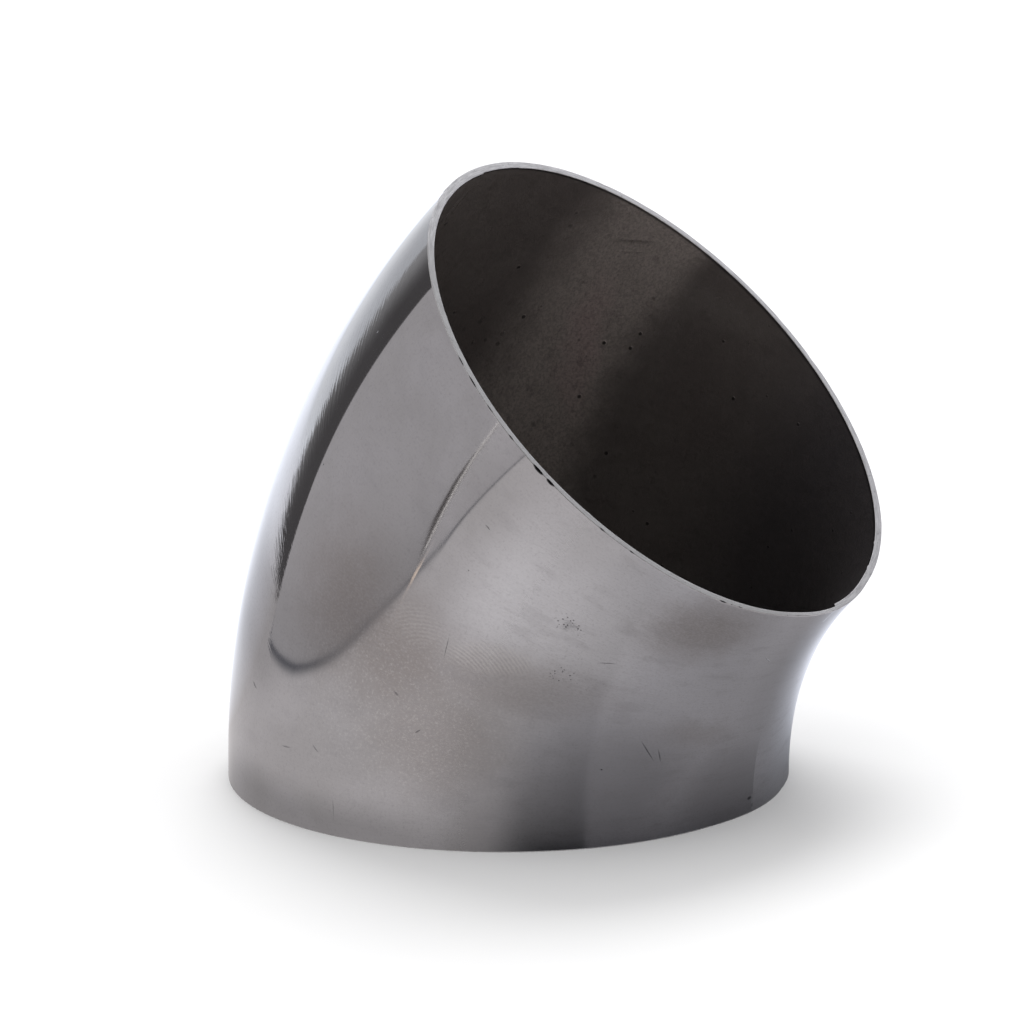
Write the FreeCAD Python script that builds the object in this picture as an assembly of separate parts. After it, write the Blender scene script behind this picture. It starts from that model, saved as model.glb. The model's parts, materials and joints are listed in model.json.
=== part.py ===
import FreeCAD
import Part

import math
import os

# A 45 degree elbow in thin stainless tube, with plain square-cut ends for butt welding.
# Two pressed half shells meet in the bend plane. Two seam welds join them: one runs
# along the heel, the long outside of the bend, and one along the throat, its inside.
# Millimetres. The origin is the centre of the lower end face, +Z runs up the lower
# bore, and the tube turns towards +X. The bend plane is Y = 0.

OUTER_DIAMETER = 63.5  # 2.5 inch tube
WALL = 0.9
BEND_RADIUS = 63.5  # of the centreline, one tube diameter
BEND_ANGLE = 45.0  # degrees between the two end faces
LAND_LENGTH = 1.0  # straight stretch left at each end by the square trim
SEAM_FACE_WIDTH = 2.4  # weld width at the outside, where it is ground flush
SEAM_ROOT_WIDTH = 1.4  # weld width at the bore
ROOT_HEIGHT = 0.15  # how far the crown of the root stands into the bore

OUTER_RADIUS = OUTER_DIAMETER / 2
BORE_RADIUS = OUTER_RADIUS - WALL

HEEL = -1  # side of the bend that the seam is on, as the sign of X at the lower end
THROAT = 1
FRONT = -1  # side of the bend plane that the half shell is on, as the sign of Y
REAR = 1


def on_circle(radius, side_x, y):
    """The point of the section at this radius and height off the bend plane."""
    return FreeCAD.Vector(side_x * math.sqrt(radius**2 - y**2), y, 0)


def arc(start, middle, end):
    return Part.Arc(start, middle, end).toShape()


def line(start, end):
    return Part.LineSegment(start, end).toShape()


def half_shell_section(side_y):
    """Half a ring in the lower end face, cut back at both ends to the welds' bevels."""
    face_y = side_y * SEAM_FACE_WIDTH / 2
    root_y = side_y * SEAM_ROOT_WIDTH / 2
    outer_heel = on_circle(OUTER_RADIUS, HEEL, face_y)
    outer_throat = on_circle(OUTER_RADIUS, THROAT, face_y)
    bore_heel = on_circle(BORE_RADIUS, HEEL, root_y)
    bore_throat = on_circle(BORE_RADIUS, THROAT, root_y)
    outline = [
        arc(outer_heel, FreeCAD.Vector(0, side_y * OUTER_RADIUS, 0), outer_throat),
        line(outer_throat, bore_throat),
        arc(bore_throat, FreeCAD.Vector(0, side_y * BORE_RADIUS, 0), bore_heel),
        line(bore_heel, outer_heel),
    ]
    return Part.Face(Part.Wire(outline))


def seam_section(side_x):
    """A weld between the two bevels: flush outside, with a low crowned root inside."""
    face_y = SEAM_FACE_WIDTH / 2
    root_y = SEAM_ROOT_WIDTH / 2
    face_front = on_circle(OUTER_RADIUS, side_x, FRONT * face_y)
    face_rear = on_circle(OUTER_RADIUS, side_x, REAR * face_y)
    root_front = on_circle(BORE_RADIUS, side_x, FRONT * root_y)
    root_rear = on_circle(BORE_RADIUS, side_x, REAR * root_y)
    crown = FreeCAD.Vector(side_x * (BORE_RADIUS - ROOT_HEIGHT), 0, 0)
    outline = [
        arc(face_front, FreeCAD.Vector(side_x * OUTER_RADIUS, 0, 0), face_rear),
        line(face_rear, root_rear),
        arc(root_rear, crown, root_front),
        line(root_front, face_front),
    ]
    return Part.Face(Part.Wire(outline))


def swept_along_elbow(section):
    """The section carried up the lower land, round the bend and along the upper land."""
    lower_axis = FreeCAD.Vector(0, 0, 1)
    turn = math.radians(BEND_ANGLE)
    upper_axis = FreeCAD.Vector(math.sin(turn), 0, math.cos(turn))
    bend_centre = FreeCAD.Vector(BEND_RADIUS, 0, LAND_LENGTH)
    bend_axis = FreeCAD.Vector(0, 1, 0)

    bend_start = section.translated(lower_axis * LAND_LENGTH)
    bend_end = bend_start.rotated(bend_centre, bend_axis, BEND_ANGLE)
    lower_land = section.extrude(lower_axis * LAND_LENGTH)
    bend = bend_start.revolve(bend_centre, bend_axis, BEND_ANGLE)
    upper_land = bend_end.extrude(upper_axis * LAND_LENGTH)
    return lower_land.fuse([bend, upper_land]).removeSplitter().Solids[0]


def export(node, solid):
    if not solid.isValid() or solid.Volume <= 0:
        raise ValueError(f"{node} is not a valid solid")
    solid.exportStep(f"parts/{node}.step")


os.makedirs("parts", exist_ok=True)
export("front_half_shell", swept_along_elbow(half_shell_section(FRONT)))
export("rear_half_shell", swept_along_elbow(half_shell_section(REAR)))
export("heel_seam_weld", swept_along_elbow(seam_section(HEEL)))
export("throat_seam_weld", swept_along_elbow(seam_section(THROAT)))
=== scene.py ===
import json
import math

import bpy
import numpy as np
from mathutils import Matrix, Vector

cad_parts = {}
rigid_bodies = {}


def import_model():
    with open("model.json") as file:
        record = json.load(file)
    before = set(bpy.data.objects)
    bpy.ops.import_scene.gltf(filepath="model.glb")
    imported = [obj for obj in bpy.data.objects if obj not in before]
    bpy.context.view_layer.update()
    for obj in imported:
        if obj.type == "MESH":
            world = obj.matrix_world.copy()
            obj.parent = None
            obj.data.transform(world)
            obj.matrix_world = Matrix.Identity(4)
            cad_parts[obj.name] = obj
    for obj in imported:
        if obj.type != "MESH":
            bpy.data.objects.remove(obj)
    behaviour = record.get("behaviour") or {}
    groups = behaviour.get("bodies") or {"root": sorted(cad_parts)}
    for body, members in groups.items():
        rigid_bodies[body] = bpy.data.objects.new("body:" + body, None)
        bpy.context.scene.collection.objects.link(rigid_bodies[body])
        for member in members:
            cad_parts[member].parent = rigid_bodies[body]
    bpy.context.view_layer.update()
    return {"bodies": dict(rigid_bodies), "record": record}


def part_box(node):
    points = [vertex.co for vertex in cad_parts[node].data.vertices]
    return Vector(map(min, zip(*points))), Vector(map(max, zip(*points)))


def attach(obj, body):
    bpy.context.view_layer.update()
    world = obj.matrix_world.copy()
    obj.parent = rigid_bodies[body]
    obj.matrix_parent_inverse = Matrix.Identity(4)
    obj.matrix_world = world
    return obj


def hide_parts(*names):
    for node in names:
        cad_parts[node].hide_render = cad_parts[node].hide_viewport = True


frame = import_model()

# A 45 degree stainless elbow, pressed in two halves and seam welded in the bend plane.
# The lower end stands on the floor at the origin and the tube turns towards +X.
# Every surface is worked out in the elbow's own terms: the distance along the
# centreline from the lower end, the angle around the section from the heel (the long
# outside of the bend; positive towards +Y), and the radius from the centreline.

MM = 0.001
MOUNTS = {mount["name"]: mount for mount in frame["record"]["mounts"]}
OUTER = MOUNTS["lower_end"]["dims"]["r_mm"] * MM
BORE = MOUNTS["lower_bore"]["dims"]["r_mm"] * MM
LAND = MOUNTS["lower_end"]["dims"]["length_mm"] * MM
UPPER_CENTRE = MOUNTS["upper_end"]["pos_m"]
UPPER_AXIS = MOUNTS["upper_end"]["axis"]
TURN = math.atan2(UPPER_AXIS[0], UPPER_AXIS[2])
BEND_RADIUS = (UPPER_CENTRE[0] - LAND * math.sin(TURN)) / (1 - math.cos(TURN))
LENGTH = 2 * LAND + BEND_RADIUS * TURN
BODY = next(iter(frame["bodies"]))

WELD_FACE_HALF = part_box("heel_seam_weld")[1].y  # half the weld's width at the outside
WELD_ROOT_HALF = 0.7 * MM  # and at the bore
ROOT_CROWN = 0.13 * MM  # how far the root's crown stands into the bore
ROOT_RIPPLE = 0.02 * MM
RIPPLE_PITCH = 0.75 * MM
EDGE_ROUND = 0.045 * MM  # the cut ends are only just deburred
HEEL_STEP = 0.05 * MM  # how far each half is off at the bore beside the heel's weld
THROAT_STEP = 0.16 * MM  # and beside the throat's; two halves make the step
DRESSED = 5 * MM  # the root is dressed flush this far in from each cut end
WAVE = 0.03 * MM  # the pressed skin's slow waviness
DRAWN_IN = 0.22 * MM  # how far the section is drawn in beside the throat's weld at the ends
DRAWN_START = 38  # that starts this many degrees round from the throat
PEAK_START = 15  # and here the section comes back out to a peak at the weld
THINNED = 0.3 * MM  # how much thinner the wall is at the throat's ends
END_REACH = 7 * MM  # how fast all that dies away along the elbow
POLISHED_OFF = 0.005 * MM  # what polishing took off all over
PER_DEGREE = OUTER / MM * math.pi / 180  # millimetres around the outside for a degree

# Nicks along the upper rim's outer edge and burrs along its bore edge: the angle from the
# heel, half the width in degrees, and the depth or height in millimetres.
NICKS = [(-17.6, 0.9, 0.14), (-70.3, 1.2, 0.06), (-75.4, 1.4, 0.07), (-82, 1.1, 0.05),
         (-89, 0.6, 0.06), (-97, 1.1, 0.13), (-100.3, 0.8, 0.13), (-113.7, 0.6, 0.07),
         (-121, 0.5, 0.07), (-143.5, 0.8, 0.07), (-145.8, 0.3, 0.05), (-148, 0.4, 0.06),
         (-166.5, 3.6, 0.035), (38, 0.9, 0.07), (97, 1.3, 0.08)]
BURRS = [(12.9, 0.3, 0.13), (14.2, 0.35, 0.08), (29, 0.4, 0.06), (-58.7, 0.4, 0.05),
         (-110, 0.4, 0.05), (150, 0.4, 0.1), (159.8, 0.35, 0.12)]
SHADED_NICKS_FROM = -40  # painted shade darkens the inside of the nicks from here round the front
NICKS_FULLY_SHADED = 0.08 * MM  # and the painted shade is full where they are this deep
NICK_SLANT = 2.2  # a nick runs in from the cut edge this many times its depth

SHELL_ROWS, SHELL_COLUMNS = 168, 268  # steps along the elbow and around each half
WELD_ROWS, WELD_COLUMNS = 380, 20  # the root's ripples need closer rows
ROUND_STEPS = 4  # points around each rounded edge of a cut end
FACE_STEPS = 6  # points across its flat
END_POINTS = 2 * ROUND_STEPS + FACE_STEPS
CREASE = math.radians(50)  # edges sharper than this stay sharp
OUTSIDE, CUT_END, INSIDE = 0, 1, 2  # the zones of a piece, in the order of its materials


# ---------------------------------------------------------------- shape

def centreline(along):
    """The point on the centreline and the unit vector towards the heel there."""
    bend = np.clip((along - LAND) / BEND_RADIUS, 0, TURN)
    straight = along - LAND - BEND_RADIUS * bend
    sine, cosine = np.sin(bend), np.cos(bend)
    zero = np.zeros_like(bend)
    point = np.stack([BEND_RADIUS * (1 - cosine) + straight * sine, zero,
                      LAND + BEND_RADIUS * sine + straight * cosine], -1)
    heelward = np.stack([-cosine, zero, sine], -1)
    return point, heelward


def by_throat(angle, start):
    """1 at the throat, falling to 0 so many degrees round from it."""
    edge = math.cos(math.radians(start))
    return np.clip((-np.cos(angle) - edge) / (1 - edge), 0, 1)


def by_ends(along):
    """1 at both cut ends, dying away between them."""
    return np.exp(-np.minimum(along, LENGTH - along) / END_REACH)


def skin(along, angle):
    """How far the pressed skin is off the true surface: slow hollows all over, and the
    section drawn in on both sides of the throat's weld at both cut ends. Never proud."""
    reach = np.clip(np.sin(math.pi * along / LENGTH), 0, 1)
    waves = (np.sin(5 * angle + 90 * along) + np.sin(9 * angle - 210 * along + 1.3)
             + np.sin(3 * angle + 330 * along + 0.4))
    drawn = by_ends(along) * by_throat(angle, DRAWN_START) * (1 - by_throat(angle, PEAK_START))
    return -POLISHED_OFF - WAVE * reach * (1 + waves / 3) - DRAWN_IN * drawn


def bore_skin(along, angle):
    """The same at the bore, where the wall is also thinner at the throat's ends."""
    return skin(along, angle) + THINNED * by_ends(along) * by_throat(angle, DRAWN_START)


def wall(along, angle, depth):
    """The radius in the wall: depth is 0 at the outside and 1 at the bore."""
    outside = OUTER + skin(along, angle)
    return outside + (BORE + bore_skin(along, angle) - outside) * depth


def nicked(along, angle, nicks):
    """How deep the rim is nicked at each point."""
    degrees = np.degrees((angle + math.pi) % (2 * math.pi) - math.pi)
    depth = np.zeros_like(degrees)
    for middle, half, deep in nicks:
        spread = np.clip(1.5 - np.abs(degrees - middle) / half, 0, 1)
        inward = np.clip(1 - (LENGTH - along) / (NICK_SLANT * deep * MM), 0, 1)
        depth = np.maximum(depth, deep * MM * spread * inward)
    return depth


def wall_profile(rows):
    """The wall cut along the elbow: a closed loop of (along, depth) with depth 0 at the
    outside and 1 at the bore, how far each point is drawn in by the rounded edges, and
    its zone."""
    spread = np.linspace(0, 1, rows + 1)
    spread = spread - 0.13 * np.sin(2 * math.pi * spread)  # closer together at the ends
    side_along = EDGE_ROUND + (LENGTH - 2 * EDGE_ROUND) * spread
    turn = np.linspace(0, math.pi / 2, ROUND_STEPS + 1)[1:]
    rise, drawn = EDGE_ROUND * np.sin(turn), EDGE_ROUND * (1 - np.cos(turn))
    across = np.linspace(0, 1, FACE_STEPS + 2)[1:-1]
    end_along = np.concatenate([LENGTH - EDGE_ROUND + rise, np.full(FACE_STEPS, LENGTH),
                                LENGTH - EDGE_ROUND + rise[::-1]])
    end_depth = np.concatenate([np.zeros(ROUND_STEPS), across, np.ones(ROUND_STEPS)])
    end_drawn = np.concatenate([drawn, EDGE_ROUND * (1 - 2 * across), -drawn[::-1]])
    none, end = np.zeros(rows + 1), np.full(END_POINTS, CUT_END)
    along = np.concatenate([side_along, end_along, side_along[::-1], LENGTH - end_along])
    depth = np.concatenate([none, end_depth, none + 1, end_depth[::-1]])
    inset = np.concatenate([none, end_drawn, none, end_drawn[::-1]])
    zone = np.concatenate([np.full(rows + 1, OUTSIDE), end, np.full(rows + 1, INSIDE), end])
    return along, depth, inset, zone


def place(along, angle, radius):
    """Points in space from the elbow's own terms."""
    point, heelward = centreline(along)
    across = np.array([0.0, 1.0, 0.0])
    return point + radius[..., None] * (np.cos(angle)[..., None] * heelward
                                        + np.sin(angle)[..., None] * across)


def put(name, data):
    made = bpy.data.objects.new(name, data)
    bpy.context.scene.collection.objects.link(made)
    return made


def store(mesh, name, vectors):
    """Keeps a vector for each vertex, for the materials to read."""
    note = mesh.attributes.new(name, "FLOAT_VECTOR", "POINT")
    note.data.foreach_set("vector", vectors.astype(np.float32).ravel())


def loft(name, rows, columns, angles, radii):
    """A solid of the wall between two angles. angles(share, depth) and radii(along,
    angle, depth) give the angle and the radius at each point."""
    along, depth, inset, zone = wall_profile(rows)
    count = len(along)
    share = np.linspace(0, 1, columns + 1)
    along_grid, share_grid = np.meshgrid(along, share, indexing="ij")
    depth_grid = np.repeat(depth[:, None], columns + 1, 1)
    angle = angles(share_grid, depth_grid)
    nick = nicked(along_grid, angle, NICKS) * np.clip(1 - 4 * depth_grid, 0, 1)
    burr = nicked(along_grid, angle, BURRS) * np.clip(4 * depth_grid - 3, 0, 1)
    radius = radii(along_grid, angle, depth_grid) - inset[:, None] - nick - burr
    points = place(along_grid, angle, radius).reshape(-1, 3)

    ring = np.arange(count)
    step = np.arange(columns)
    here, there = np.meshgrid(ring, step, indexing="ij")
    after = (here + 1) % count
    width = columns + 1
    quads = np.stack([here * width + there, here * width + there + 1,
                     after * width + there + 1, after * width + there], -1).reshape(-1, 4)
    following = np.roll(zone, -1)
    zones = np.repeat(np.where(zone == following, zone, CUT_END), columns)

    faces = quads.tolist()
    bore_start = rows + 1 + END_POINTS
    outer = ring[:rows + 1]
    inner = ring[bore_start:bore_start + rows + 1][::-1]
    sides = [[outer[i], outer[i + 1], inner[i + 1], inner[i]] for i in range(rows)]
    sides.append(list(range(rows, bore_start + 1)))
    sides.append([*range(bore_start + rows, count), 0])
    for column, flip in ((0, False), (columns, True)):
        for side in sides:
            corners = [int(k) * width + column for k in side]
            faces.append(corners[::-1] if flip else corners)
    zones = np.concatenate([zones, np.full(len(faces) - len(zones), CUT_END)])

    mesh = bpy.data.meshes.new(name)
    mesh.from_pydata(points.tolist(), [], faces)
    mesh.polygons.foreach_set("material_index", zones.astype(np.int32))
    mesh.shade_smooth()
    mesh.set_sharp_from_angle(angle=CREASE)

    straight = np.stack([radius * np.cos(angle), radius * np.sin(angle), along_grid], -1)
    store(mesh, "unrolled_mm", straight / MM)
    store(mesh, "degrees_and_mm", np.stack([np.degrees(angle), along_grid / MM, depth_grid], -1))
    # Painted shade: how dark the inside of each nick at the front is painted, by its depth
    nick_shade = np.clip(np.where(np.degrees(angle) < SHADED_NICKS_FROM, nick, 0) / NICKS_FULLY_SHADED, 0, 1)
    store(mesh, "nick_shade", np.stack([nick_shade] * 3, -1))
    corner_vertex = np.empty(len(mesh.loops), np.int32)
    mesh.loops.foreach_get("vertex_index", corner_vertex)
    flat = np.stack([along_grid / LENGTH, angle / (2 * math.pi) + 0.5], -1).reshape(-1, 2)
    brush = mesh.uv_layers.new(name="along_and_around")
    brush.data.foreach_set("uv", flat[corner_vertex].astype(np.float32).ravel())
    mesh.validate()
    return put(name, mesh)


def half_at(depth):
    """Half the angle that a weld takes up at this depth in the wall."""
    radius = OUTER + (BORE - OUTER) * depth
    half = WELD_FACE_HALF + (WELD_ROOT_HALF - WELD_FACE_HALF) * depth
    return np.arcsin(half / radius)


def mismatch(angle):
    """How far each half is off at the bore: most beside the seams, with a sign that tells
    the heel from the throat."""
    heelward = np.cos(angle)
    return np.where(heelward > 0, HEEL_STEP, THROAT_STEP) * heelward ** 5


def shell(name, side):
    """A half shell. side is -1 for the front, towards -Y, and 1 for the rear."""
    def angles(share, depth):
        start = half_at(depth)
        return side * (start + (math.pi - 2 * start) * (share if side > 0 else 1 - share))

    def radii(along, angle, depth):
        offset = side * mismatch(angle) * depth
        return wall(along, angle, depth) + offset

    return loft(name, SHELL_ROWS, SHELL_COLUMNS, angles, radii)


def weld(name, middle):
    """A seam weld. middle is the angle of its centreline: 0 at the heel, pi at the throat."""
    def angles(share, depth):
        return middle + half_at(depth) * (2 * share - 1)

    def radii(along, angle, depth):
        across = (angle - middle) / half_at(depth)
        bead = (1 - across ** 2) * np.clip(np.minimum(along, LENGTH - along) / DRESSED, 0, 1)
        ripple = ROOT_RIPPLE * np.sin(2 * math.pi * (along + 0.5 * MM * across ** 2) / RIPPLE_PITCH)
        frontness = np.clip((-across * math.cos(middle) - 0.6) / 0.3, 0, 1)
        step = mismatch(angle) * (1 - 2 * frontness)
        root = step - bead * (ROOT_CROWN + ripple)
        return wall(along, angle, depth) + depth * root

    return loft(name, WELD_ROWS, WELD_COLUMNS, angles, radii)


# ---------------------------------------------------------------- materials

class Nodes:
    """Short ways to write a material's nodes."""

    def __init__(self, name):
        self.material = bpy.data.materials.new(name)
        self.material.use_nodes = True
        self.tree = self.material.node_tree
        self.tree.nodes.clear()

    def node(self, kind, inputs=None, **settings):
        made = self.tree.nodes.new(kind)
        for key, value in settings.items():
            setattr(made, key, value)
        for key, value in (inputs or {}).items():
            if isinstance(value, bpy.types.NodeSocket):
                self.tree.links.new(value, made.inputs[key])
            else:
                made.inputs[key].default_value = value
        return made

    def attribute(self, name, output="Vector"):
        return self.node("ShaderNodeAttribute", attribute_name=name).outputs[output]

    def stretched(self, vector, scale):
        """The coordinates times scale: a texture is drawn out where the scale is small."""
        return self.node("ShaderNodeVectorMath", {0: vector, 1: scale},
                         operation="MULTIPLY").outputs[0]

    def noise(self, vector, scale=1.0, detail=3.0, roughness=0.5, distortion=0.0):
        return self.node("ShaderNodeTexNoise", {
            "Vector": vector, "Scale": scale, "Detail": detail, "Roughness": roughness,
            "Distortion": distortion}).outputs["Fac"]

    def ramp(self, value, low, high, to_low=0.0, to_high=1.0, kind="SMOOTHSTEP"):
        return self.node("ShaderNodeMapRange", {
            "Value": value, "From Min": low, "From Max": high, "To Min": to_low,
            "To Max": to_high}, interpolation_type=kind).outputs["Result"]

    def math(self, operation, *values):
        return self.node("ShaderNodeMath", dict(enumerate(values)),
                         operation=operation).outputs[0]

    def times(self, first, second):
        return self.math("MULTIPLY", first, second)

    def part(self, vector, axis):
        return self.node("ShaderNodeSeparateXYZ", {0: vector}).outputs[axis]

    def toward(self, vector, direction):
        """How far the vector reaches in a direction."""
        return self.node("ShaderNodeVectorMath", {0: vector, 1: tuple(direction)},
                         operation="DOT_PRODUCT").outputs["Value"]

    def mix(self, factor, first, second):
        made = self.node("ShaderNodeMix", data_type="RGBA")
        for index, value in ((0, factor), (6, first), (7, second)):
            if isinstance(value, bpy.types.NodeSocket):
                self.tree.links.new(value, made.inputs[index])
            else:
                made.inputs[index].default_value = (*value, 1) if index else value
        return made.outputs[2]

    def bump(self, height, distance, normal=None):
        inputs = {"Height": height, "Distance": distance, "Strength": 1.0}
        if normal is not None:
            inputs["Normal"] = normal
        return self.node("ShaderNodeBump", inputs).outputs["Normal"]

    def longest(self, *values):
        """The greatest of several values."""
        most = values[0]
        for value in values[1:]:
            most = self.math("MAXIMUM", most, value)
        return most

    def sheet(self):
        """The surface laid flat: millimetres around from the heel and along the elbow."""
        return self.stretched(self.attribute("degrees_and_mm"), (PER_DEGREE, 1, 1))

    def turned(self, sheet, angle, along, length, width, tilt):
        """The sheet measured from a place in steps of length and width. The length runs
        tilted by so many degrees from the ring direction."""
        return self.node("ShaderNodeMapping", {
            "Vector": sheet, "Location": (angle * PER_DEGREE, along, 0),
            "Rotation": (0, 0, math.radians(tilt)), "Scale": (length, width, 1)},
            vector_type="TEXTURE").outputs[0]

    def about(self, sheet, angle, along, length, width, tilt=0.0):
        """The distance from an oval's middle, 1 at its edge."""
        moved = self.turned(sheet, angle, along, length / 2, width / 2, tilt)
        return self.node("ShaderNodeVectorMath", {0: moved}, operation="LENGTH").outputs["Value"]

    def spot(self, sheet, angle, along, length, width, tilt=0.0, soft=0.5):
        """1 inside an oval and 0 outside it, with a soft edge."""
        return self.ramp(self.about(sheet, angle, along, length, width, tilt),
                         1 - soft, 1 + soft, 1.0, 0.0)

    def warped(self, sheet, vector, scale, reach):
        """The sheet with its places moved about by up to reach, for ragged outlines."""
        random = self.node("ShaderNodeTexNoise", {
            "Vector": vector, "Scale": scale, "Detail": 4.0, "Roughness": 0.6}).outputs["Color"]
        centred = self.node("ShaderNodeVectorMath", {0: random, 1: (0.5, 0.5, 0.5)},
                            operation="SUBTRACT").outputs[0]
        return self.node("ShaderNodeVectorMath", {
            0: centred, 1: (2 * reach, 2 * reach, 0), 2: sheet},
            operation="MULTIPLY_ADD").outputs[0]

    def pits(self, vector, spacing, radius, share):
        """Small round pits, about spacing apart, in only a share of the places."""
        cells = self.node("ShaderNodeTexVoronoi", {"Vector": vector, "Scale": 1 / spacing})
        chance = self.node("ShaderNodeSeparateColor", {0: cells.outputs["Color"]}).outputs[0]
        there = self.ramp(chance, 1 - share, 1.02 - share)
        size = radius / spacing
        hole = self.ramp(cells.outputs["Distance"], 0.5 * size, size, 1.0, 0.0)
        return self.times(there, hole)

    def finish(self, shader):
        output = self.node("ShaderNodeOutputMaterial")
        self.tree.links.new(shader, output.inputs["Surface"])
        return self.material


# Scratches on the outside: the angle from the heel, the place along the elbow, the length
# and the width in millimetres, and the tilt from the ring direction in degrees.
SCRATCHES = [(-83, 3, 1.8, 0.12, 86), (-77.5, 8.6, 0.9, 0.12, 30), (-69, 7.5, 1.2, 0.1, -8),
             (-54.5, 11, 1.0, 0.2, 15), (-101, 26, 2.4, 0.08, 84), (-146, 17.5, 3.6, 0.16, 62),
             (-149, 16.5, 2.4, 0.14, 75), (-97, 42, 0.7, 0.14, 10), (-94, 18, 0.7, 0.2, 30),
             (-100, 14.5, 0.7, 0.16, -50), (-131, 33, 1.6, 0.1, -24), (-167, 39, 1.6, 0.1, 48),
             (30, 20, 5.0, 0.12, 18), (72, 31, 3.5, 0.14, -35), (118, 14, 4.0, 0.12, 62),
             (150, 38, 3.0, 0.12, -12), (95, 43, 6.0, 0.1, 8)]
PIT_CLUSTERS = [(-120.5, 36.3, 3.0, 2.2), (-124.5, 28.5, 3.0, 2.2), (64, 12, 4.0, 3.0),
                (137, 40, 3.0, 3.0)]


def fingerprint(n, sheet):
    """Two touches of the same fingertip: arched ridges on the polished front."""
    ridge_pitch = 0.46
    arch_angle, arch_along = -101, 19.5
    arch = n.about(sheet, arch_angle, arch_along, 2, 2)
    ridges = n.ramp(n.math("SINE", n.times(arch, 2 * math.pi / ridge_pitch)), -0.4, 0.6)
    touch = n.longest(n.times(n.spot(sheet, -94, 26.8, 6.0, 4.2, 0.0, 0.6), 0.4),
                      n.spot(sheet, -110, 27.2, 9.5, 4.0, -20.0, 0.3))
    return n.times(ridges, touch)


def tarnish_patches(n, sheet):
    """Where the polish has lost its shine or been handled: brown films and scuffs."""
    return n.longest(
        n.times(n.spot(sheet, -78, 24.5, 14, 13, 20, 0.9), 0.85),
        n.times(n.spot(sheet, -91, 22.5, 15, 12, 35, 0.8), 0.85),
        n.times(n.spot(sheet, -103, 15, 15, 14, 10, 0.6), 0.6),
        n.times(n.spot(sheet, -112, 24, 24, 9, -14, 0.6), 0.5),
        n.times(n.spot(sheet, -145, 45, 11, 14, 30, 0.8), 0.75),
        n.times(n.spot(sheet, -157, 21, 9, 5, 10, 0.8), 0.35),
        n.times(n.spot(sheet, 60, 34, 22, 12, 15, 0.7), 0.6),
        n.times(n.spot(sheet, 128, 18, 26, 10, -20, 0.7), 0.7))


def shaded_nicks(n, colour):
    """The colour with painted shade inside the nicks at the front, darker where they are deeper."""
    nick_shade = n.ramp(n.part(n.attribute("nick_shade"), "X"), 0.15, 0.7)
    return n.mix(nick_shade, colour, (0.02, 0.019, 0.02))


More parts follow.
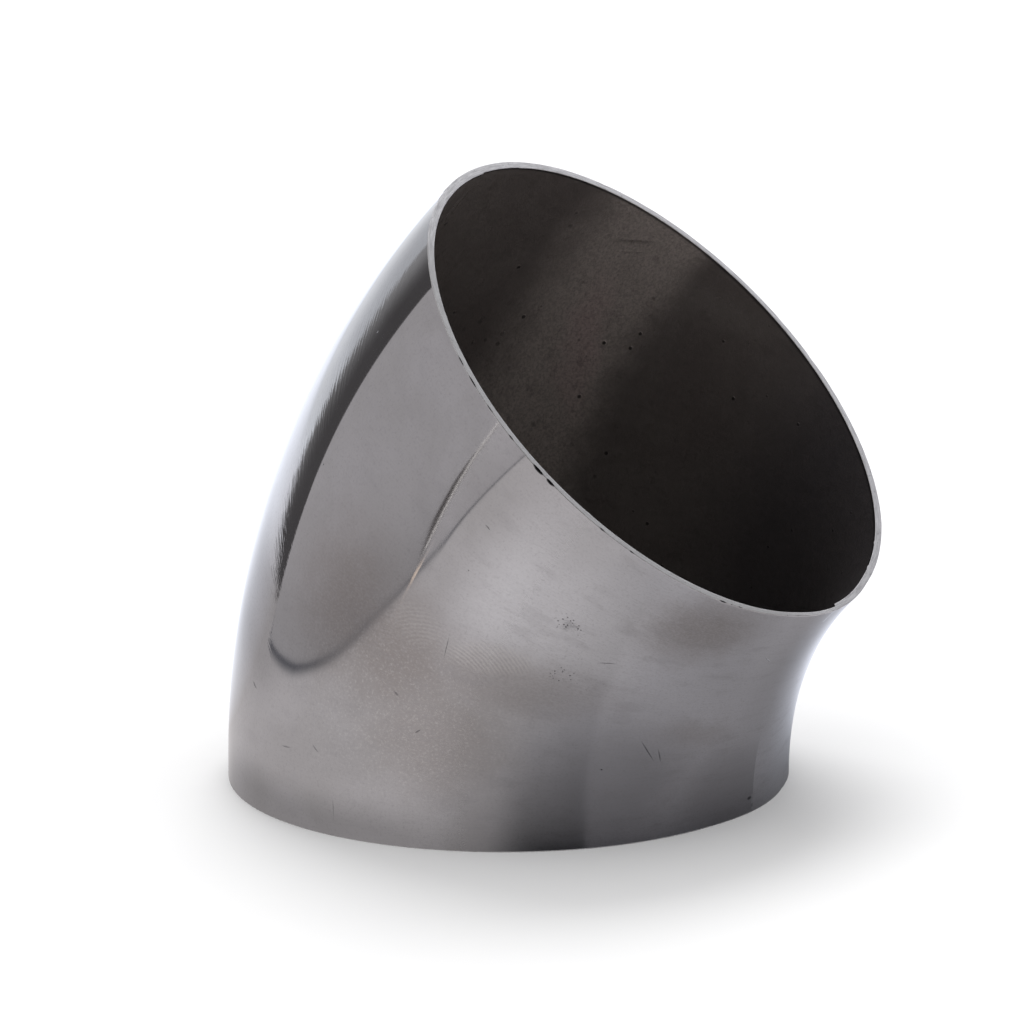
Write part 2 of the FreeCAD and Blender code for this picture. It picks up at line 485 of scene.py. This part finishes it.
def polished_steel(name):
    """The outside: near mirror by the heel, satin with short brush strokes elsewhere, the
    marks of handling, and painted shade low on the front and along the throat."""
    n = Nodes(name)
    tube = n.attribute("unrolled_mm")
    place = n.node("ShaderNodeSeparateXYZ", {0: n.attribute("degrees_and_mm")})
    from_heel = n.math("ABSOLUTE", place.outputs["X"])
    along = place.outputs["Y"]
    sheet = n.sheet()
    ragged = n.warped(sheet, tube, 0.35, 2.2)
    fine = n.warped(sheet, tube, 1.2, 0.25)
    satin = n.ramp(from_heel, 90, 116)

    strokes = n.noise(n.stretched(tube, (0.4, 0.4, 5.0)), 1.0, 4.0, 0.7)
    hairs = n.noise(n.stretched(tube, (0.12, 0.12, 9.0)), 1.0, 3.0, 0.6)
    blotches = n.noise(n.stretched(tube, (0.16, 0.16, 0.4)), 1.0, 4.0, 0.65)
    cloud = n.noise(tube, 0.09, 4.0, 0.6, 0.6)
    grain = n.noise(n.stretched(tube, (2.6, 2.6, 5.2)), 1.0, 4.0, 0.75)
    film = n.times(tarnish_patches(n, ragged), n.ramp(grain, 0.3, 0.62, 0.6, 1.0))
    scuff = n.times(n.spot(ragged, -103, 14, 15, 13, 0, 0.6), n.ramp(grain, 0.5, 0.62))

    colour = n.mix(n.ramp(cloud, 0.35, 0.7), (0.485, 0.475, 0.48), (0.44, 0.43, 0.43))
    bright = n.times(n.ramp(from_heel, 94, 108), n.ramp(from_heel, 126, 144, 1.0, 0.0))
    bright = n.times(bright, n.ramp(along, 22, 34))
    bright = n.times(bright, n.ramp(along, 38, 52, 1.0, 0.35))
    colour = n.mix(n.ramp(from_heel, 110, 136), colour, (0.64, 0.64, 0.67))
    colour = n.mix(bright, colour, (0.68, 0.675, 0.69))
    # Painted shade: the front low down and the throat side are darkened where the dark floor and
    # room show in the metal.
    front_and_throat_shade = n.longest(n.spot(ragged, -140, 12, 17, 22, 0, 0.7),
                       n.times(n.spot(ragged, -172, 6, 22, 20, 0, 0.7), 0.75),
                       n.times(n.ramp(from_heel, 164, 180), n.ramp(along, 4, 44)))
    colour = n.mix(n.times(front_and_throat_shade, 0.75), colour, (0.34, 0.34, 0.36))
    colour = n.mix(film, colour, (0.31, 0.28, 0.265))
    shown = n.ramp(satin, 0, 1, 0.16, 0.22, "LINEAR")
    faint = n.times(n.ramp(strokes, 0.35, 0.75), n.times(shown, 0.4))
    colour = n.mix(faint, colour, (0.33, 0.32, 0.325))
    colour = n.mix(n.times(n.ramp(grain, 0.5, 0.7), shown), colour, (0.35, 0.34, 0.345))
    colour = n.mix(n.times(n.ramp(blotches, 0.5, 0.7), shown), colour, (0.33, 0.32, 0.33))
    colour = n.mix(n.ramp(hairs, 0.45, 0.75, 0.0, 0.07), colour, (0.3, 0.29, 0.3))
    speckle = n.noise(tube, 3.2, 3.0, 0.8)
    handled = n.spot(ragged, -98, 16, 26, 20, 0, 0.6)
    colour = n.mix(n.ramp(speckle, 0.5, 0.7, 0.0, 0.25), colour, (0.28, 0.27, 0.275))
    colour = n.mix(n.times(handled, n.ramp(speckle, 0.46, 0.34, 0.0, 0.3)), colour,
                   (0.68, 0.665, 0.65))
    colour = n.mix(n.times(scuff, 0.3), colour, (0.62, 0.6, 0.58))
    colour = n.mix(n.times(fingerprint(n, fine), 0.32), colour, (0.66, 0.64, 0.61))

    marks = n.longest(*[n.spot(sheet, angle, rise, length, width, tilt, 0.6)
                        for angle, rise, length, width, tilt in SCRATCHES])
    clusters = n.longest(*[n.spot(ragged, angle, rise, wide, high)
                           for angle, rise, wide, high in PIT_CLUSTERS])
    smudge = n.spot(ragged, -120.5, 36.3, 1.6, 1.1, -30, 0.9)
    pits = n.longest(n.times(n.pits(tube, 0.33, 0.12, 0.5), clusters),
                     n.times(smudge, n.ramp(grain, 0.35, 0.6, 0.05, 0.35)),
                     n.pits(tube, 4.5, 0.14, 0.25),
                     n.spot(sheet, -176.5, 2.5, 0.8, 0.7), n.spot(sheet, -178.4, 0.8, 1.1, 0.6))
    colour = n.mix(n.times(marks, 0.36), colour, (0.15, 0.145, 0.15))
    colour = n.mix(n.times(pits, 0.75), colour, (0.05, 0.048, 0.05))
    # Painted shade inside the nicks at the front
    colour = shaded_nicks(n, colour)

    rough = n.ramp(satin, 0, 1, 0.045, 0.3, "LINEAR")
    rough = n.math("ADD", rough, n.times(n.ramp(strokes, 0.3, 0.7, -0.01, 0.01), satin))
    rough = n.math("ADD", rough, n.ramp(film, 0, 1, 0.0, 0.03))
    rough = n.math("ADD", rough, n.ramp(n.longest(marks, pits), 0, 1, 0.0, 0.3))

    height = n.times(strokes, n.ramp(satin, 0, 1, 0.02, 1.0))
    normal = n.bump(height, 0.00035 * MM)
    brushed = n.noise(n.turned(sheet, 0, 0, 4.0, 0.35, 28), 1.0, 2.0, 0.6)
    brushed = n.times(brushed, n.spot(sheet, -47, 33, 36, 5.5, 75, 0.5))
    normal = n.bump(brushed, 0.016 * MM, normal)
    normal = n.bump(n.longest(marks, pits), -0.02 * MM, normal)
    tangent = n.node("ShaderNodeTangent", direction_type="UV_MAP",
                     uv_map="along_and_around").outputs[0]
    shader = n.node("ShaderNodeBsdfPrincipled", {
        "Base Color": colour, "Metallic": 1.0, "Roughness": rough, "Normal": normal,
        "Anisotropic": 0.95, "Tangent": tangent})
    return n.finish(shader.outputs[0])


BORE_PITS = [(37.5, 47, 0.8, 0.6), (36.5, 48.4, 0.5, 0.4), (63.5, 44.5, 0.7, 0.6),
             (54.5, 27.5, 0.9, 0.6), (71, 24.5, 0.6, 0.5), (55, 37, 0.5, 0.4)]


def bore_oxide(name):
    """The bore: dull brown-grey scale left by annealing, paler along one pressed side,
    with bluish painted shade towards the throat, with fine pits and a scratch."""
    n = Nodes(name)
    tube = n.attribute("unrolled_mm")
    sheet = n.sheet()
    ragged = n.warped(sheet, tube, 0.25, 2.5)
    around = n.part(ragged, "X")
    cloud = n.noise(tube, 0.06, 5.0, 0.6, 0.8)
    mottle = n.noise(tube, 0.7, 5.0, 0.7)
    grain = n.noise(tube, 3.5, 4.0, 0.8)

    def between(*degrees):
        start, full, fading, end = [value * PER_DEGREE for value in degrees]
        return n.times(n.ramp(around, start, full), n.ramp(around, fading, end, 1.0, 0.0))

    colour = n.mix(n.ramp(cloud, 0.35, 0.65), (0.19, 0.163, 0.153), (0.235, 0.207, 0.193))
    pale = between(33, 50, 60, 70)
    colour = n.mix(pale, colour, (0.47, 0.41, 0.38))
    rosy = n.spot(ragged, 56, 37, 22, 7, -68, 0.35)
    colour = n.mix(n.times(rosy, 0.85), colour, (0.63, 0.45, 0.445))
    # Painted shade: the bore darkens from 80 to 120 degrees round from the heel and stays dark
    # towards the throat.
    bore_shade = n.ramp(n.math("ABSOLUTE", around), 80 * PER_DEGREE, 120 * PER_DEGREE)
    colour = n.mix(n.times(bore_shade, 0.9), colour, (0.105, 0.098, 0.104))
    colour = n.mix(n.ramp(mottle, 0.5, 0.75, 0, 0.45), colour, (0.11, 0.095, 0.088))
    speckled = n.ramp(pale, 0, 1, 0.2, 0.45, "LINEAR")
    colour = n.mix(n.times(n.ramp(grain, 0.42, 0.72), speckled), colour,
                   (0.15, 0.13, 0.118))
    colour = n.mix(n.times(n.ramp(grain, 0.52, 0.42, 0.0, 0.25), pale), colour,
                   (0.72, 0.62, 0.58))
    stained = n.spot(ragged, 37, 34, 11, 10, 40, 0.6)
    scratched = n.warped(sheet, tube, 1.5, 0.1)
    pits = n.longest(*[n.spot(sheet, *pit) for pit in BORE_PITS],
                     n.times(n.pits(tube, 0.9, 0.32, 0.45), stained),
                     n.pits(tube, 2.6, 0.26, 0.4),
                     n.spot(scratched, 52, 48.5, 4.6, 0.5, 26, 0.7),
                     n.times(n.spot(scratched, 53, 47.3, 3.0, 0.3, 26, 0.7), 0.5),
                     n.spot(sheet, -70, 20, 5.0, 0.16, 40, 0.6))
    colour = n.mix(n.times(stained, 0.3), colour, (0.12, 0.1, 0.09))
    colour = n.mix(n.times(pits, 0.85), colour, (0.03, 0.026, 0.025))
    along = n.part(sheet, "Y")
    # Painted shadow: a dark line just inside the upper rim.
    rim_shadow_line = n.ramp(along, LENGTH / MM - 0.5, LENGTH / MM - 0.15)
    colour = n.mix(n.times(rim_shadow_line, 0.8), colour, (0.03, 0.027, 0.026))
    rough = n.ramp(mottle, 0.3, 0.7, 0.42, 0.56)
    normal = n.bump(n.math("SUBTRACT", n.times(grain, 0.3), pits), 0.05 * MM)
    normal = n.bump(mottle, 0.03 * MM, normal)
    shader = n.node("ShaderNodeBsdfPrincipled", {
        "Base Color": colour, "Metallic": 0.85, "Roughness": rough, "Normal": normal})
    return n.finish(shader.outputs[0])


def cut_edge(name):
    """The sawn and deburred ends, with painted shade inside the nicks at the front."""
    n = Nodes(name)
    tube = n.attribute("unrolled_mm")
    laid = n.attribute("degrees_and_mm")
    saw = n.noise(n.stretched(laid, (0.4 * PER_DEGREE, 0, 5.0)), 1.0, 4.0, 0.7)
    burr = n.noise(tube, 2.6, 4.0, 0.75)
    around = n.part(laid, "X")
    front = n.times(n.ramp(around, -30, -46), n.ramp(around, -158, -172, 1.0, 0.0))
    colour = n.mix(n.ramp(saw, 0.35, 0.65), (0.9, 0.875, 0.87), (0.64, 0.62, 0.62))
    colour = n.mix(n.times(front, 0.7), colour, (0.56, 0.545, 0.53))
    colour = n.mix(n.ramp(burr, 0.58, 0.68, 0.0, 0.5), colour, (0.25, 0.24, 0.245))
    # Painted shade inside the nicks at the front
    colour = shaded_nicks(n, colour)
    rough = n.ramp(saw, 0.3, 0.7, 0.28, 0.42)
    normal = n.bump(n.math("ADD", saw, burr), 0.012 * MM)
    shader = n.node("ShaderNodeBsdfPrincipled", {
        "Base Color": colour, "Metallic": 1.0, "Roughness": rough, "Normal": normal})
    return n.finish(shader.outputs[0])


def give(piece, materials):
    for material in materials:
        piece.data.materials.append(material)


# ---------------------------------------------------------------- studio

# The camera, fitted to the photograph's outline and rims.
CAMERA_AZIMUTH = math.radians(30.1)
CAMERA_ELEVATION = math.radians(13.6)
CAMERA_ROLL = math.radians(-0.33)
CAMERA_DISTANCE = 0.6204
CAMERA_LENS = 196.35
CAMERA_AIM = Vector((2.89, -4.0, 31.24)) * MM

ROOM_RADIUS = 3.0
ROOM_STEP = 4  # degrees of heading for each face of a room wall
FLOOR_HALF = 15.0  # half the floor's side
REFLECTED_FLOOR_HALF = 4.0  # and of the floor that the metal sees
FLOOR_LIFT = 0.0001  # which lies just above it
SCREEN_HEIGHT = 1.5
SCREEN_FADE = 0.03  # how far up a screen changes from its foot's colour
SHADOW_LIFT = 0.4  # millimetres that the dark lines lie above the floor

# The feet of the two grey screens to the camera's left, seen from above, in millimetres.
# They were found by following the reflected rays, and then trimmed.
CORNER = (-62, -141)  # where the left screen ends and the narrow one starts
LEFT_FOOT = [(-3000, 60), (-145, -20.5), (-130, -40), (-113, -62), (-102, -86), (-82, -121),
             CORNER]
NARROW_FOOT = [CORNER, (-50, -143), (-46, -156), (-20, -240)]
# The dark gap beyond the left screen, and its far edge, which leans outwards.
GAP_FOOT = [(-200, -25), (-259, -5), (-522, 107), (-1014, 282), (-1420, 448)]
GAP_LEAN = [(-1420, 448, 0), (-1410, 470, 150), (-1396, 500, 230), (-1360, 580, 354),
            (-1315, 679, 600), (-1306, 699, 2500), (-1420, 448, 2500)]


def only_reflected(piece):
    """A card that lights nothing and shows only in the metal's reflections."""
    piece.visible_camera = False
    piece.visible_diffuse = False
    piece.visible_shadow = False
    piece.visible_transmission = False
    for slot in piece.material_slots:
        slot.material.cycles.emission_sampling = "NONE"


def glowing(name, colour):
    """A material that shines evenly in one colour."""
    n = Nodes(name)
    return n.finish(n.node("ShaderNodeEmission", {"Color": (*colour, 1)}).outputs[0])


def card(name, corners, material):
    """A flat card, its corners in metres."""
    mesh = bpy.data.meshes.new(name)
    mesh.from_pydata(corners, [], [list(range(len(corners)))])
    mesh.materials.append(material)
    return put(name, mesh)


def camera():
    data = bpy.data.cameras.new("camera")
    data.lens = CAMERA_LENS
    data.clip_start = 0.01
    data.clip_end = 100
    made = put("camera", data)
    azimuth, elevation = CAMERA_AZIMUTH, CAMERA_ELEVATION
    back = Vector((math.sin(azimuth) * math.cos(elevation),
                   -math.cos(azimuth) * math.cos(elevation), math.sin(elevation)))
    right = Vector((math.cos(azimuth), math.sin(azimuth), 0))
    up = back.cross(right)
    across = right * math.cos(CAMERA_ROLL) + up * math.sin(CAMERA_ROLL)
    upright = up * math.cos(CAMERA_ROLL) - right * math.sin(CAMERA_ROLL)
    turn = Matrix((across, upright, back)).transposed().to_4x4()
    made.matrix_world = Matrix.Translation(CAMERA_AIM + back * CAMERA_DISTANCE) @ turn
    bpy.context.scene.camera = made


def square(half, height):
    """The corners of a level square around the origin."""
    return [(x * half, y * half, height) for x, y in ((-1, -1), (1, -1), (1, 1), (-1, 1))]


def floor():
    n = Nodes("pale_floor")
    coordinates = n.node("ShaderNodeTexCoord").outputs["Object"]
    grain = n.noise(coordinates, 60.0, 3.0)
    colour = n.mix(grain, (0.84, 0.84, 0.845), (0.86, 0.86, 0.86))
    shader = n.node("ShaderNodeBsdfPrincipled", {
        "Base Color": colour, "Roughness": 0.8, "Specular IOR Level": 0.2})
    card("floor", square(FLOOR_HALF, 0), n.finish(shader.outputs[0]))


def heading(degrees):
    """A level direction, by its angle from the camera's own side: negative to the
    camera's left, 180 straight behind the elbow."""
    angle = CAMERA_AZIMUTH + math.radians(degrees)
    return Vector((math.sin(angle), -math.cos(angle), 0))


def floor_in_reflections():
    """The floor as the metal sees it: brighter towards the lit backdrop but greyer far
    off, shaded close to the foot of the elbow and in a wedge in front of it, and dark
    inside the tube."""
    n = Nodes("floor_in_reflections")
    place = n.node("ShaderNodeTexCoord").outputs["Object"]
    distance = n.node("ShaderNodeVectorMath", {0: place}, operation="LENGTH").outputs["Value"]

    def facing(degrees):
        """1 for a place in that heading from the elbow, 0 to either side of it."""
        return n.math("DIVIDE", n.toward(place, heading(degrees)), distance)

    def near(start, full):
        return n.ramp(distance, OUTER + start * MM, OUTER + full * MM, 1.0, 0.0)

    lit = n.ramp(facing(165), 0.2, 0.8, kind="LINEAR")
    colour = n.mix(lit, (0.72, 0.695, 0.705), (1.3, 1.36, 1.5))
    far = n.ramp(distance, 0.6, 2.5, 0.0, 0.75)
    colour = n.mix(n.times(far, lit), colour, (0.83, 0.87, 0.94))
    # Painted soft shadow on the floor off to the camera's left, about 60 to 400 mm out.
    soft_shadow = n.times(n.ramp(distance, 0.06, 0.12), n.ramp(distance, 0.2, 0.4, 1.0, 0.0))
    soft_shadow = n.times(soft_shadow, n.ramp(facing(-124), 0.85, 1.0))
    colour = n.mix(n.times(soft_shadow, 0.35), colour, (0.2, 0.19, 0.2))
    left_foot = n.times(n.ramp(facing(-50), 0.5, 0.95), near(3, 18))
    colour = n.mix(n.times(left_foot, 0.38), colour, (0.03, 0.03, 0.033))
    right_foot = n.times(n.ramp(facing(62), 0.02, 0.75), near(3, 31))
    colour = n.mix(n.times(right_foot, 0.92), colour, (0.03, 0.03, 0.033))
    beside = n.toward(place, heading(-59))
    wedge = n.times(n.ramp(beside, 8.0 * MM, 9.5 * MM), n.ramp(facing(16), 0.93, 0.99))
    wedge = n.times(wedge, near(6, 24))
    colour = n.mix(n.times(wedge, 0.9), colour, (0.02, 0.02, 0.022))
    colour = n.mix(near(-2, 0), colour, (0.03, 0.03, 0.03))
    material = n.finish(n.node("ShaderNodeEmission", {"Color": colour}).outputs[0])
    only_reflected(card("floor_in_reflections", square(REFLECTED_FLOOR_HALF, FLOOR_LIFT), material))


def room_wall(name, start, end, low, high, colour, other=None, higher=1.0):
    """A stretch of the room round the elbow, from one heading to another, between two
    elevations in degrees. It fades from colour to other along its way, and its brightness
    changes to higher times as much ten degrees up."""
    steps = max(2, int(abs(end - start) / ROOM_STEP))
    rises = np.linspace(low, high, 8)
    points, faces, fade = [], [], []
    for i in range(steps + 1):
        way = heading(start + (end - start) * i / steps)
        for rise in rises:
            level = math.radians(rise)
            points.append(way * ROOM_RADIUS * math.cos(level)
                          + Vector((0, 0, ROOM_RADIUS * math.sin(level))))
            fade.append((i / steps, rise, 0))
    for i in range(steps):
        for j in range(len(rises) - 1):
            a = i * len(rises) + j
            b = a + len(rises)
            faces.append([a, b, b + 1, a + 1])
    mesh = bpy.data.meshes.new(name)
    mesh.from_pydata(points, [], faces)
    store(mesh, "fade", np.array(fade))
    n = Nodes(name)
    way = n.node("ShaderNodeSeparateXYZ", {0: n.attribute("fade")})
    glow = n.node("ShaderNodeEmission", {
        "Color": n.mix(way.outputs["X"], colour, other or colour),
        "Strength": n.ramp(way.outputs["Y"], 0, 10, 1.0, higher)})
    mesh.materials.append(n.finish(glow.outputs[0]))
    only_reflected(put(name, mesh))


def slip(name, outline, colour):
    """A small upright card by the corner of the screens. Its outline is in millimetres:
    how far out along the left screen from the corner, and how high."""
    way = (Vector(LEFT_FOOT[-2]) - Vector(CORNER)).normalized()
    start = Vector(CORNER) + Vector((way.y, -way.x))  # a millimetre in front of the screen
    corners = [(*(start + way * out), rise) for out, rise in outline]
    only_reflected(card(name, [Vector(corner) * MM for corner in corners], glowing(name, colour)))


def warm_glint():
    """A small bright patch on the floor just before the corner of the screens."""
    corner = Vector((*CORNER, 0))
    way = -corner.normalized()
    across = Vector((-way.y, way.x, 0)) * 2.2
    near, far, rise = corner + way * 7.5, corner + way * 0.8, Vector((0, 0, 0.8))
    outline = [near - across * 0.4, near + across * 0.4, far + across, far - across]
    only_reflected(card("warm_glint", [(spot + rise) * MM for spot in outline],
                        glowing("warm_glint", (1.5, 1.22, 1.0))))


def screen(name, foot, low_colour, high_colour):
    """A screen standing on the floor along a line of points in millimetres, a painted
    reflection. It is low_colour at its foot, as painted shade, and high_colour from a little way
    up."""
    points, faces = [], []
    for x, y in foot:
        points += [Vector((x, y, 0)) * MM, Vector((x * MM, y * MM, SCREEN_HEIGHT))]
    for i in range(len(foot) - 1):
        faces.append([2 * i, 2 * i + 2, 2 * i + 3, 2 * i + 1])
    mesh = bpy.data.meshes.new(name)
    mesh.from_pydata(points, [], faces)
    n = Nodes(name)
    rise = n.part(n.node("ShaderNodeTexCoord").outputs["Object"], "Z")
    # Painted shade: darker at the foot, next to the floor.
    colour = n.mix(n.ramp(rise, 0, SCREEN_FADE), low_colour, high_colour)
    mesh.materials.append(n.finish(n.node("ShaderNodeEmission", {"Color": colour}).outputs[0]))
    only_reflected(put(name, mesh))


def dark_gap():
    """The dark gap past the left screen, paler towards its far edge."""
    n = Nodes("dark_gap")
    place = n.stretched(n.node("ShaderNodeTexCoord").outputs["Object"], (1, 1, 0))
    way = n.node("ShaderNodeVectorMath", {0: place}, operation="NORMALIZE").outputs[0]
    turn = n.toward(way, heading(-100))
    colour = n.mix(n.math("POWER", n.ramp(turn, 0.91, 0.76, kind="LINEAR"), 1.5),
                   (0.1, 0.096, 0.1), (0.36, 0.36, 0.37))
    material = n.finish(n.node("ShaderNodeEmission", {"Color": colour}).outputs[0])
    rise = GAP_LEAN[-1][2]
    for i in range(len(GAP_FOOT) - 1):
        corners = [(*GAP_FOOT[i], 0), (*GAP_FOOT[i + 1], 0), (*GAP_FOOT[i + 1], rise),
                   (*GAP_FOOT[i], rise)]
        only_reflected(card(f"dark_gap_{i + 1}", [Vector(c) * MM for c in corners], material))
    only_reflected(card("dark_gap_far", [Vector(c) * MM for c in GAP_LEAN], material))


def foot_shadow(name, foot, widths):
    """The painted soft bluish shadow where a screen stands on the floor, so many millimetres
    wide on either side of each point of its foot."""
    points, faces, across = [], [], []
    for i, (x, y) in enumerate(foot):
        before, after = Vector(foot[max(i - 1, 0)]), Vector(foot[min(i + 1, len(foot) - 1)])
        way = (after - before).normalized()
        for side in (-1, 0, 1):
            reach = side * widths[i]
            points.append(Vector((x - way.y * reach, y + way.x * reach, SHADOW_LIFT)) * MM)
            across.append((side, 0, 0))
    for i in range(len(foot) - 1):
        for j in range(2):
            a = 3 * i + j
            faces.append([a, a + 3, a + 4, a + 1])
    mesh = bpy.data.meshes.new(name)
    mesh.from_pydata(points, [], faces)
    store(mesh, "across", np.array(across))
    n = Nodes(name)
    side = n.part(n.attribute("across"), "X")
    cover = n.ramp(n.math("ABSOLUTE", side), 0.15, 1.0, 1.0, 0.0)
    dark = n.node("ShaderNodeEmission", {"Color": (0.06, 0.068, 0.09, 1)})
    clear = n.node("ShaderNodeBsdfTransparent")
    mixed = n.node("ShaderNodeMixShader", {0: cover, 1: clear.outputs[0], 2: dark.outputs[0]})
    mesh.materials.append(n.finish(mixed.outputs[0]))
    only_reflected(put(name, mesh))


def world():
    made = bpy.data.worlds.new("world")
    made.use_nodes = True
    made.node_tree.nodes["Background"].inputs["Color"].default_value = (1, 1, 1, 1)
    made.node_tree.nodes["Background"].inputs["Strength"].default_value = 1.0
    bpy.context.scene.world = made
    bpy.context.scene.view_settings.view_transform = "Standard"


def soft_light(name, way, elevation, distance, size, power):
    data = bpy.data.lights.new(name, "AREA")
    data.shape = "DISK"
    data.size = size
    data.energy = power
    made = put(name, data)
    direction = heading(way) * math.cos(math.radians(elevation)) + Vector(
        (0, 0, math.sin(math.radians(elevation))))
    made.location = direction * distance
    made.rotation_mode = "QUATERNION"
    made.rotation_quaternion = direction.to_track_quat("Z", "Y")
    made.visible_camera = False
    made.visible_glossy = False


def studio():
    world()
    floor()
    # Painted reflections: apart from top_light, which is a lamp, each of the following is a card
    # that shines its own colour and shows only in the metal.
    floor_in_reflections()
    soft_light("top_light", 180, 60, 1.6, 1.0, 12)
    room_wall("backdrop_left", 190, 232, 0, 60, (1.0, 1.02, 1.07), (0.97, 1.02, 1.1), 0.65)
    room_wall("backdrop_right", 150, 190, 0, 60, (1.1, 1.13, 1.18), (1.0, 1.02, 1.07))
    room_wall("front_left_room", -60, -8, 0, 60, (0.4, 0.39, 0.4), (0.25, 0.24, 0.25))
    room_wall("dark_front", -8, 31, 0, 60, (0.05, 0.05, 0.05), (0.02, 0.02, 0.022))
    room_wall("front_right_room", 31, 118, 0, 60, (0.13, 0.125, 0.135))
    room_wall("right_room", 118, 150, 0, 60, (0.13, 0.125, 0.135), (1.0, 1.03, 1.08))
    room_wall("ceiling", -180, 180, 60, 90, (0.55, 0.55, 0.56))
    screen("left_screen", LEFT_FOOT, (0.49, 0.476, 0.492), (0.585, 0.568, 0.588))
    screen("narrow_screen", NARROW_FOOT, (0.6, 0.58, 0.6), (0.66, 0.64, 0.66))
    dark_gap()
    foot_shadow("far_foot_shadow", [(-230, -18.5), LEFT_FOOT[1]], [3, 2])
    foot_shadow("left_foot_shadow", LEFT_FOOT[1:], [4, 17, 20, 16, 13, 9])
    foot_shadow("narrow_foot_shadow", NARROW_FOOT, [9, 8, 4, 2.5])
    slip("dark_sliver", [(1.6, 2), (3.6, 6), (5.6, 11.5), (4.6, 20), (2.6, 27), (1.8, 16)],
         (0.11, 0.1, 0.1))
    slip("bright_line", [(0.6, 4), (1.2, 4), (1.7, 16), (2.6, 60), (2.0, 60), (1.1, 16)],
         (1.7, 1.65, 1.6))
    slip("dark_hairline", [(-0.3, 1), (0.4, 1), (1.0, 16), (1.8, 60), (1.3, 60), (0.3, 16)],
         (0.25, 0.23, 0.23))
    warm_glint()


# ---------------------------------------------------------------- assembly

def assemble():
    outside = polished_steel("polished_stainless")
    bore = bore_oxide("bore_oxide")
    edge = cut_edge("cut_edge")
    pieces = [
        (shell("front_shell", -1), "front_half_shell", "polished_stainless"),
        (shell("rear_shell", 1), "rear_half_shell", "polished_stainless"),
        (weld("heel_weld", 0.0), "heel_seam_weld", "ground_weld"),
        (weld("throat_weld", math.pi), "throat_seam_weld", "ground_weld"),
    ]
    for piece, node, slot in pieces:
        give(piece, [outside, edge, bore])
        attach(piece, BODY)
        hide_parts(node)


assemble()
studio()
camera()
